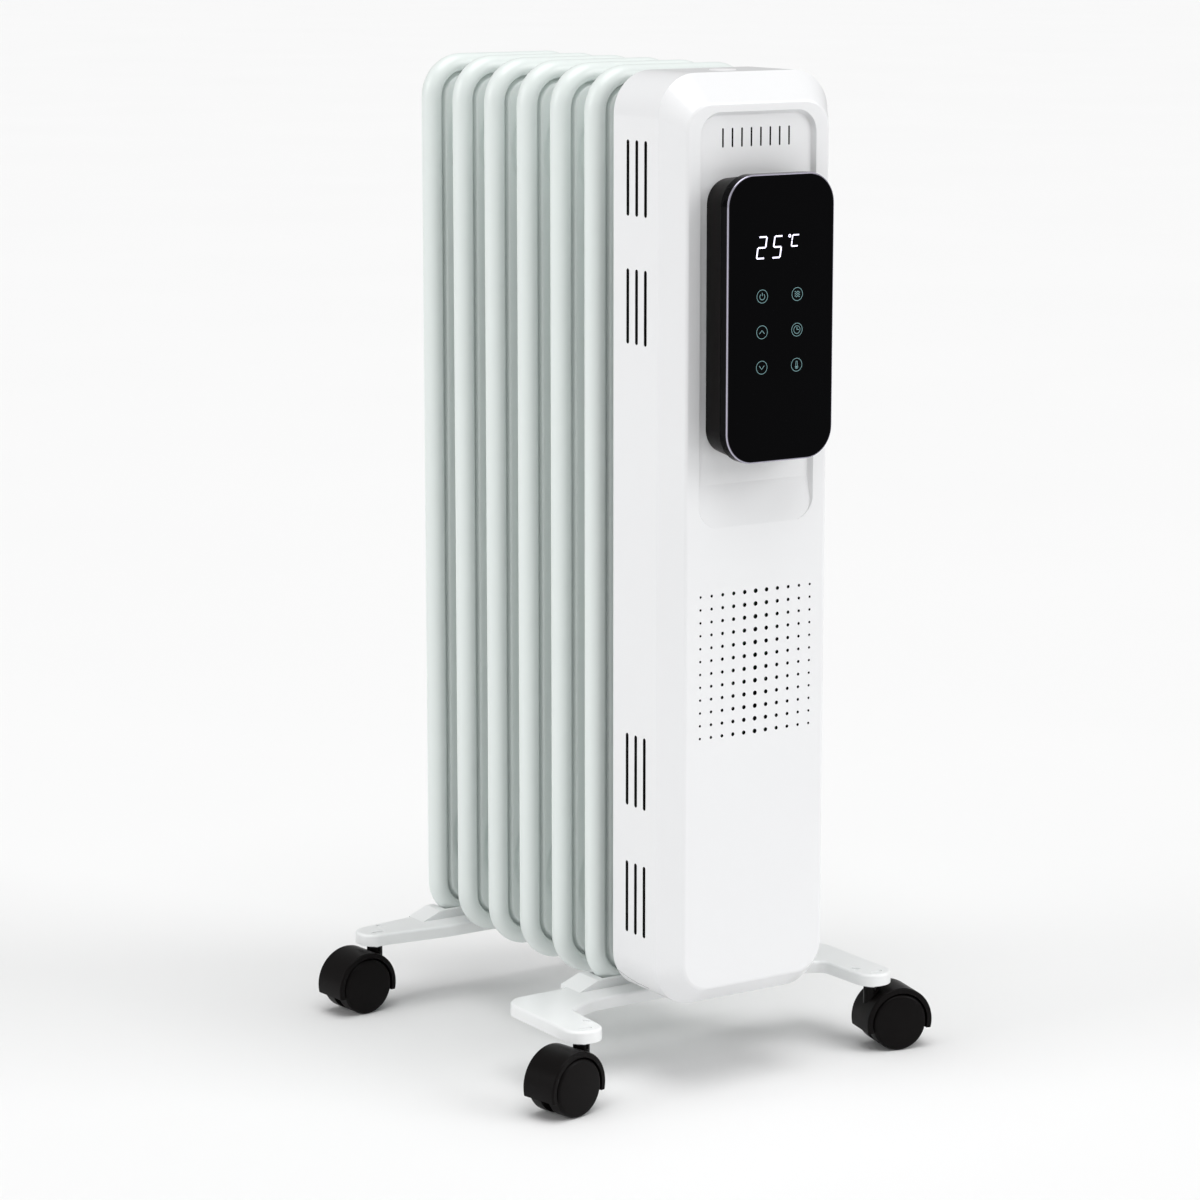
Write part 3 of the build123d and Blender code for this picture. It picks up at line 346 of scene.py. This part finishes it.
def arc(centre, radius, start, end, steps=32):
    """Points of an arc from a start to an end angle in degrees."""
    angle = np.radians(np.linspace(start, end, steps))
    return np.stack([np.cos(angle), np.sin(angle)], -1) * radius + centre


def circle(centre, radius, line, steps):
    """Closed round line of even width."""
    return ribbon(arc(centre, radius, 0, 360, steps + 1)[:-1], line, closed=True)


def on_glass(name, strips):
    """One thin mesh of all the strips, just proud of the glass."""
    glass_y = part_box("panel_glass")[0].y / MM - GLASS_LIFT
    points, faces, start = [], [], 0
    for flat, quads in strips:
        points.append(np.stack([flat[:, 0], np.full(len(flat), glass_y), flat[:, 1]], -1))
        faces.append(quads + start)
        start += len(flat)
    piece = make_mesh(name, np.concatenate(points) * MM, np.concatenate(faces), smooth=False)
    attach(piece, "radiator")
    return piece


# Ends of the bars of a figure, in shares of its width and height
SEGMENTS = {"top": ((0, 1), (1, 1)), "upper_left": ((0, 1), (0, 0.5)),
            "upper_right": ((1, 1), (1, 0.5)), "middle": ((0, 0.5), (1, 0.5)),
            "lower_left": ((0, 0.5), (0, 0)), "lower_right": ((1, 0.5), (1, 0)),
            "bottom": ((0, 0), (1, 0))}
FIGURE_TWO = ("top", "upper_right", "middle", "lower_left", "bottom")
FIGURE_FIVE = ("top", "upper_left", "middle", "lower_right", "bottom")
LETTER_C = ("top", "upper_left", "lower_left", "bottom")


def seven_segment(bars, left, base, size, line):
    """Bars of a slanted seven-segment figure, each a little short of the corners."""
    strips = []
    for bar in bars:
        ends = np.array(SEGMENTS[bar], float) * size
        along = ends[1] - ends[0]
        trim = along / np.linalg.norm(along) * line * SEGMENT_TRIM
        ends = np.array([ends[0] + trim, ends[1] - trim])
        ends[:, 0] += left + DIGIT_SLANT * ends[:, 1]
        ends[:, 1] += base
        strips.append(ribbon(ends, line))
    return strips


def display_marks():
    """A two-figure reading with a degree ring and a small C."""
    strips = []
    for bars, left in zip((FIGURE_TWO, FIGURE_FIVE), DIGIT_LEFTS):
        strips += seven_segment(bars, left, DIGIT_BASE, DIGIT_SIZE, SEGMENT)
    strips += seven_segment(LETTER_C, UNIT_LEFT, DIGIT_BASE + UNIT_RISE, UNIT_SIZE, UNIT_SEGMENT)
    strips.append(circle(DEGREE_CENTRE, DEGREE_RADIUS, DEGREE_LINE, 16))
    return strips


def power_symbol(x, z):
    """Open ring with an upright bar in its gap."""
    return [ribbon(arc((x, z - 0.2), 1.8, 128, 412), KEY_LINE * 1.2),
            ribbon([(x, z + 0.3), (x, z + 2.2)], KEY_LINE * 1.2)]


def heat_symbol(x, z):
    """Three waves, one above the other."""
    across = np.linspace(-1.9, 1.9, 25)
    wave = 0.42 * np.sin(across * 3.3)
    return [ribbon(np.stack([x + across, z + lift + wave], -1), KEY_LINE) for lift in (-1.3, 0, 1.3)]


def arrow_symbol(x, z, upwards):
    """Chevron that points up (1) or down (-1)."""
    tail = z - upwards * ARROW_RISE
    points = [(x - ARROW_HALF_WIDTH, tail), (x, z + upwards * ARROW_DROP),
              (x + ARROW_HALF_WIDTH, tail)]
    return [ribbon(points, KEY_LINE * 1.3)]


def timer_symbol(x, z):
    """Clock face with its two hands."""
    hands = [(x, z + 1.6), (x, z), (x + 1.4, z)]
    return [circle((x, z), 2.3, KEY_LINE, 32), ribbon(hands, KEY_LINE * 1.5)]


def temperature_symbol(x, z):
    """Thermometer: a stem with a round bulb."""
    outline = np.concatenate([arc((x, z - 1.3), 0.95, -230, 50, 20),
                              arc((x, z + 1.7), 0.5, 0, 180, 9)])
    return [ribbon(outline, KEY_LINE, closed=True), disc((x, z - 1.3), 0.5)]


def key_marks():
    """Ring and symbol of the six touch keys."""
    left, right = KEY_COLUMNS
    top, centre, low = KEY_ROWS
    strips = [circle((x, z), KEY_RING, KEY_LINE, 48) for x in KEY_COLUMNS for z in KEY_ROWS]
    strips += power_symbol(left, top)
    strips += heat_symbol(right, top)
    strips += arrow_symbol(left, centre, 1)
    strips += arrow_symbol(left, low, -1)
    strips += timer_symbol(right, centre)
    strips += temperature_symbol(right, low)
    return strips


# ------------------------------------------------------------------ shader helpers
class Socket:
    """An output in a material; arithmetic on it adds Math nodes."""

    def __init__(self, shader, output):
        self.shader, self.output = shader, output

    def _maths(self, operation, first, second):
        return self.shader.node("ShaderNodeMath", {"operation": operation}, {0: first, 1: second})

    def __add__(self, other):
        return self._maths("ADD", self, other)

    def __radd__(self, other):
        return self._maths("ADD", other, self)

    def __sub__(self, other):
        return self._maths("SUBTRACT", self, other)

    def __rsub__(self, other):
        return self._maths("SUBTRACT", other, self)

    def __mul__(self, other):
        return self._maths("MULTIPLY", self, other)

    def __rmul__(self, other):
        return self._maths("MULTIPLY", other, self)

    def size(self):
        """The value without its sign."""
        return self._maths("ABSOLUTE", self, 0)

    def root(self):
        return self._maths("SQRT", self, 0)


class Shader:
    """A node material with one Principled surface."""

    def __init__(self, name):
        self.material = bpy.data.materials.new(name)
        self.material.use_nodes = True
        self.tree = self.material.node_tree
        self.surface = self.tree.nodes["Principled BSDF"]
        self.place = self.node("ShaderNodeTexCoord", {}, {}, "Object")

    def feed(self, socket, value):
        """Link a Socket, or set a plain value on the socket itself."""
        if isinstance(value, Socket):
            self.tree.links.new(value.output, socket)
        else:
            socket.default_value = value

    def node(self, kind, settings, inputs, output=0):
        """Add a node: its settings first, then the values or links of its sockets."""
        made = self.tree.nodes.new(kind)
        for name, value in settings.items():
            setattr(made, name, value)
        for name, value in inputs.items():
            self.feed(made.inputs[name], value)
        return Socket(self, made.outputs[output])

    def noise(self, scale, detail=2.0, stretch=None):
        """Noise in Object coordinates, about 0.5 on average."""
        place = self.place
        if stretch:
            place = self.node("ShaderNodeMapping", {}, {"Vector": place, "Scale": stretch})
        return self.node("ShaderNodeTexNoise", {}, {"Vector": place, "Scale": scale, "Detail": detail})

    def tint(self, share, low, high):
        """Colour between two, by a share from 0 to 1."""
        return self.mix(share, (*low, 1), high)

    def mix(self, share, base, colour):
        """A colour laid over a base, by a share from 0 to 1."""
        return self.node("ShaderNodeMix", {"data_type": "RGBA"},
                         {0: share, 6: base, 7: (*colour, 1)}, 2)

    def step(self, low, high, value):
        """0 at the low end of a range of values and 1 at its high end, smoothly."""
        return self.node("ShaderNodeMapRange", {"interpolation_type": "SMOOTHSTEP"},
                         {"Value": value, "From Min": low, "From Max": high})

    def above(self, value, floor):
        """The value, never less than the floor."""
        return self.node("ShaderNodeMath", {"operation": "MAXIMUM"}, {0: value, 1: floor})

    def split(self, vector):
        """X, Y and Z of a vector output."""
        parts = self.node("ShaderNodeSeparateXYZ", {}, {"Vector": vector}).output.node
        return [Socket(self, output) for output in parts.outputs]

    def bump(self, height, strength, distance):
        return self.node("ShaderNodeBump", {},
                         {"Strength": strength, "Distance": distance, "Height": height})

    def finish(self, **values):
        """Set the surface's sockets; underscores in the names stand for spaces."""
        for name, value in values.items():
            self.feed(self.surface.inputs[name.replace("_", " ")], value)
        return self.material


def painted(name, low, high, roughness, coat, peel):
    """Sprayed or moulded gloss finish: a trace of uneven tint, orange peel in the surface."""
    shader = Shader(name)
    broad = shader.noise(9.0, 3.0)
    fine = shader.noise(420.0, 2.0)
    grain = shader.noise(2600.0, 1.0)
    return shader.finish(Base_Color=shader.tint(broad, low, high),
                         Roughness=roughness - 0.05 + broad * 0.06 + grain * 0.04,
                         Coat_Weight=coat, Coat_Roughness=0.08,
                         Normal=shader.bump(fine * 0.7 + grain * 0.3, peel, 0.0002))


def moulded_black(name, low, high, roughness, grain_scale, strength, shine):
    """Black moulded plastic: fine spark-eroded grain and faint polish marks."""
    shader = Shader(name)
    broad = shader.noise(30.0, 4.0)
    grain = shader.noise(grain_scale, 3.0)
    rub = shader.noise(60.0, 5.0, stretch=(1.0, 4.0, 1.0))
    return shader.finish(Base_Color=shader.tint(broad, low, high), Specular_IOR_Level=shine,
                         Roughness=roughness + grain * 0.10 - rub * 0.10,
                         Normal=shader.bump(grain, strength, 0.0002))


def dark_glass():
    """Back-painted black glass: a few dry wipe marks, and a painted highlight round its edge, a pale
    lilac, partly metallic line. The line follows the distance to the panel's rounded outline."""
    shader = Shader("panel_glass_black")
    wipe = shader.noise(14.0, 5.0, stretch=(1.0, 1.0, 0.35))
    wave = shader.noise(22.0, 1.0)
    low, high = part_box("panel_glass")
    middle, half = (low + high) / 2, (high - low) / 2
    x, y, z = shader.split(shader.place)
    over_x = shader.above((x - middle.x).size() - (half.x - GLASS_CORNER), 0)
    over_z = shader.above((z - middle.z).size() - (half.z - GLASS_CORNER), 0)
    reach = (over_x * over_x + over_z * over_z).root()
    # Painted highlight: a pale lilac, partly metallic line round the front edge stands in for light
    # caught there
    edge = shader.step(GLASS_CORNER - HIGHLIGHT_LINE, GLASS_CORNER - HIGHLIGHT_LINE / 3, reach)
    edge = edge * (1 - shader.step(low.y + HIGHLIGHT_LINE / 3, low.y + HIGHLIGHT_LINE, y))
    glass = shader.tint(wipe, (0.0005, 0.0005, 0.0008), (0.0012, 0.0012, 0.0016))
    return shader.finish(Base_Color=shader.mix(edge, glass, (0.52, 0.50, 0.60)), Metallic=edge * 0.6,
                         Roughness=0.03 + wipe * 0.05, Specular_IOR_Level=0.03,
                         Normal=shader.bump(wave, 0.04, 0.0005))


def metal(name, low, high, roughness, stretch):
    """Plated or rolled steel with drawn streaks along one axis."""
    shader = Shader(name)
    streak = shader.noise(300.0, 4.0, stretch=stretch)
    broad = shader.noise(25.0, 3.0)
    return shader.finish(Base_Color=shader.tint(broad, low, high), Metallic=1.0,
                         Roughness=roughness - 0.06 + streak * 0.14,
                         Normal=shader.bump(streak, 0.08, 0.0001))


def soft_black_rubber():
    """Matt rubber with a dusty bloom."""
    shader = Shader("gland_rubber")
    bloom = shader.noise(120.0, 5.0)
    return shader.finish(Base_Color=shader.tint(bloom, (0.018, 0.018, 0.018), (0.040, 0.040, 0.039)),
                         Roughness=0.62 + bloom * 0.15, Normal=shader.bump(bloom, 0.2, 0.0002))


def circuit_board():
    """Green solder mask over copper tracks that show as lighter bands."""
    shader = Shader("board_green")
    track = shader.node("ShaderNodeTexBrick", {}, {"Vector": shader.place, "Scale": 60.0,
                                                   "Color1": (0.012, 0.11, 0.035, 1),
                                                   "Color2": (0.016, 0.15, 0.05, 1),
                                                   "Mortar": (0.03, 0.22, 0.08, 1)})
    return shader.finish(Base_Color=track, Roughness=0.35 + shader.noise(200.0) * 0.1)


def lit(name, colour, strength, spread):
    """Light from a mark behind the glass, a little uneven along its length."""
    shader = Shader(name)
    uneven = shader.noise(700.0, 1.0)
    dim = tuple(channel * (1 - spread) for channel in colour)
    return shader.finish(Base_Color=(0.01, 0.01, 0.012, 1), Roughness=0.3,
                         Emission_Color=shader.tint(uneven, dim, colour), Emission_Strength=strength)


# Near-black colours of the painted shade inside the housing and on the inner side of the back plate
PAINTED_SHADE_DARK = ((0.006, 0.006, 0.006), (0.012, 0.012, 0.012))


def unlit_inside():
    """Painted shade for the inside of a moulding: near black, with faint mould texture."""
    shader = Shader("inside_painted_shade")
    texture = shader.noise(150.0, 3.0)
    return shader.finish(Base_Color=shader.tint(texture, *PAINTED_SHADE_DARK),
                         Roughness=0.7 + texture * 0.1, Specular_IOR_Level=0.1,
                         Normal=shader.bump(texture, 0.1, 0.0003))


def back_plate():
    """Sheet steel plate, sprayed white on the side that faces the fins; its inner side carries painted
    shade, near black.
    """
    shader = Shader("plate_white")
    texture = shader.noise(150.0, 3.0)
    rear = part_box("mounting_plate")[1].y
    outside = shader.step(rear - 2 * PLATE_SKIN, rear - PLATE_SKIN, shader.split(shader.place)[1])
    # Painted shade: the inner side, seen through the vents, is near black
    inside = shader.tint(texture, *PAINTED_SHADE_DARK)
    return shader.finish(Base_Color=shader.mix(outside, inside, (0.86, 0.87, 0.875)),
                         Roughness=0.45 + texture * 0.1, Specular_IOR_Level=0.1,
                         Normal=shader.bump(texture, 0.08, 0.0003))


def shade_inside(material, node, axis_point, front_y):
    """Paint shade on the inner faces of a hollow moulding with a second, near-black material: those
    behind front_y that look towards the upright line through axis_point, those that look straight
    to the rear, and the walls of the vents in its sides and front."""
    mesh = frame["nodes"][node].data
    mesh.materials.append(material)
    count = len(mesh.polygons)
    centres, normals = np.empty(count * 3), np.empty(count * 3)
    mesh.polygons.foreach_get("center", centres)
    mesh.polygons.foreach_get("normal", normals)
    centres, normals = centres.reshape(-1, 3), normals.reshape(-1, 3)
    towards = np.array(axis_point) - centres
    towards[:, 2] = np.clip(centres[:, 2], AXIS_LOW, AXIS_HIGH) - centres[:, 2]
    inner = (np.sum(normals * towards, 1) > 0) & (centres[:, 1] > front_y)
    inner |= (normals[:, 1] > FACES_REAR) & (centres[:, 1] < axis_point[1])
    x, y, z = np.abs(centres[:, 0]), centres[:, 1], centres[:, 2]
    side_skin = (x > SIDE_SKIN[0]) & (x < SIDE_SKIN[1]) & (y > SIDE_VENTS[0]) & (y < SIDE_VENTS[1])
    front_skin = (x < FRONT_VENTS) & (y < front_y + FRONT_SKIN)
    at_vents = (z > VENT_LEVELS[0]) & (z < VENT_LEVELS[1])
    inner |= side_skin & at_vents & (np.abs(normals[:, 0]) < ALONG_SKIN)
    inner |= front_skin & at_vents & (np.abs(normals[:, 1]) < ALONG_SKIN)
    mesh.polygons.foreach_set("material_index", inner.astype(np.int32))


def dress(material, *nodes):
    """Give CAD nodes a finish through their own material slots."""
    for name in nodes:
        node = frame["nodes"][name]
        if not node.material_slots:
            node.data.materials.append(material)
        for slot in node.material_slots:
            slot.material = material


DEEP_BLACK = ((0.0035, 0.003, 0.003), (0.006, 0.005, 0.005))
FIN_PAINT = painted("fin_paint", (0.80, 0.855, 0.835), (0.82, 0.875, 0.855), 0.34, 0.30, 0.10)
HOUSING_WHITE = painted("housing_white", (0.86, 0.865, 0.875), (0.885, 0.89, 0.90), 0.30, 0.45, 0.05)
FOOT_WHITE = painted("foot_white", (0.86, 0.875, 0.875), (0.89, 0.90, 0.90), 0.36, 0.30, 0.08)
BUTTON_WHITE = painted("button_white", (0.84, 0.83, 0.845), (0.87, 0.86, 0.87), 0.40, 0.1, 0.06)
PANEL_BLACK = moulded_black("panel_black", *DEEP_BLACK, 0.34, 1500.0, 0.10, 0.06)
CASTER_BLACK = moulded_black("caster_black", *DEEP_BLACK, 0.34, 1900.0, 0.16, 0.07)
DARK_PLASTIC = moulded_black("dark_plastic", (0.03, 0.03, 0.035), (0.05, 0.05, 0.055),
                             0.45, 900.0, 0.10, 0.10)
GLASS_BLACK = dark_glass()
BRIGHT_STEEL = metal("bright_steel", (0.62, 0.63, 0.65), (0.74, 0.75, 0.76), 0.22, (1.0, 1.0, 8.0))
RAW_STEEL = metal("raw_steel", (0.42, 0.42, 0.43), (0.52, 0.52, 0.52), 0.40, (8.0, 1.0, 1.0))
BRASS = metal("terminal_brass", (0.60, 0.45, 0.20), (0.70, 0.54, 0.26), 0.30, (1.0, 8.0, 1.0))
RUBBER = soft_black_rubber()
INSIDE_SHADE = unlit_inside()
BOARD = circuit_board()
PALE_PLASTIC = painted("pale_plastic", (0.72, 0.72, 0.68), (0.78, 0.78, 0.74), 0.45, 0.0, 0.08)
DIGIT_LIGHT = lit("digit_light", (0.84, 0.82, 1.0), 2.2, 0.06)
KEY_LIGHT = lit("key_light", (0.26, 0.50, 0.52), 0.8, 0.2)

SLOT_FINISH = {"fin_paint": FIN_PAINT, "housing_white": HOUSING_WHITE, "foot_white": FOOT_WHITE,
               "button_white": BUTTON_WHITE, "panel_black": PANEL_BLACK,
               "caster_black": CASTER_BLACK, "dark_plastic": DARK_PLASTIC,
               "black_glass": GLASS_BLACK, "plated_steel": BRIGHT_STEEL, "raw_steel": RAW_STEEL,
               "brass": BRASS, "black_rubber": RUBBER, "circuit_board": BOARD,
               "light_plastic": PALE_PLASTIC}

for subpart in frame["record"]["subparts"]:
    dress(SLOT_FINISH[subpart["material_slot"]], subpart["node"])

cover_low, cover_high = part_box("housing_cover")
hollow_axis = (0.0, cover_high.y - HOLLOW_SETBACK, 0.0)
# Painted shade: the inner faces and vent walls of the housing get a near-black material
for node_name in ("housing_cover", "housing_bottom"):
    shade_inside(INSIDE_SHADE, node_name, hollow_axis, cover_low.y + RECESS_REACH)
# Back plate: white outside, painted shade on its inner side
dress(back_plate(), "mounting_plate")

for fin in pressed_fins():
    fin.data.materials.append(FIN_PAINT)
on_glass("display_reading", display_marks()).data.materials.append(DIGIT_LIGHT)
on_glass("touch_key_marks", key_marks()).data.materials.append(KEY_LIGHT)


# ------------------------------------------------------------------ studio
def stage_floor():
    """Plain pale floor, wide enough to fill the view."""
    mesh = bpy.data.meshes.new("floor")
    half = FLOOR_HALF_SIZE
    mesh.from_pydata([(-half, -half, 0), (half, -half, 0), (half, half, 0), (-half, half, 0)], [],
                     [(0, 1, 2, 3)])
    floor = bpy.data.objects.new("floor", mesh)
    bpy.context.scene.collection.objects.link(floor)
    shader = Shader("floor_white")
    cloud = shader.noise(1.5, 2.0)
    floor.data.materials.append(shader.finish(
        Base_Color=shader.tint(cloud, (0.86, 0.86, 0.86), (0.88, 0.88, 0.88)), Roughness=0.75,
        Specular_IOR_Level=0.1))


def aim(thing, at, target):
    """Place a lamp or camera at a point, looking at another."""
    thing.location = at
    thing.rotation_euler = (Vector(target) - Vector(at)).to_track_quat("-Z", "Y").to_euler()


def sun(name, azimuth, elevation, softness, share):
    """Distant soft lamp, given as in LAMPS."""
    lamp = bpy.data.lights.new(name, "SUN")
    lamp.energy, lamp.angle = share * math.pi, math.radians(softness)
    holder = bpy.data.objects.new(name, lamp)
    bpy.context.scene.collection.objects.link(holder)
    turn, rise = math.radians(azimuth), math.radians(elevation)
    aim(holder, (math.sin(turn) * math.cos(rise), -math.cos(turn) * math.cos(rise), math.sin(rise)),
        (0, 0, 0))


def studio():
    """Even white surround with three broad lamps: left, right front and overhead."""
    world = bpy.data.worlds.new("studio")
    bpy.context.scene.world = world
    world.use_nodes = True
    background = world.node_tree.nodes["Background"]
    background.inputs["Color"].default_value = (1.0, 1.0, 1.0, 1)
    background.inputs["Strength"].default_value = SURROUND_STRENGTH
    for name, (azimuth, elevation, softness, share) in LAMPS.items():
        sun(name, azimuth, elevation, softness, share)
    bpy.context.scene.view_settings.view_transform = "Standard"


def camera():
    """Camera at the catalogue viewing angle."""
    azimuth, elevation = math.radians(CAMERA_AZIMUTH), math.radians(CAMERA_ELEVATION)
    away = Vector((math.sin(azimuth) * math.cos(elevation), -math.cos(azimuth) * math.cos(elevation),
                   math.sin(elevation)))
    lens = bpy.data.cameras.new("camera")
    lens.lens, lens.sensor_width = CAMERA_LENS, SENSOR_WIDTH
    holder = bpy.data.objects.new("camera", lens)
    bpy.context.scene.collection.objects.link(holder)
    aim(holder, Vector(CAMERA_AIM) + away * CAMERA_DISTANCE, CAMERA_AIM)
    bpy.context.scene.camera = holder


stage_floor()
studio()
camera()
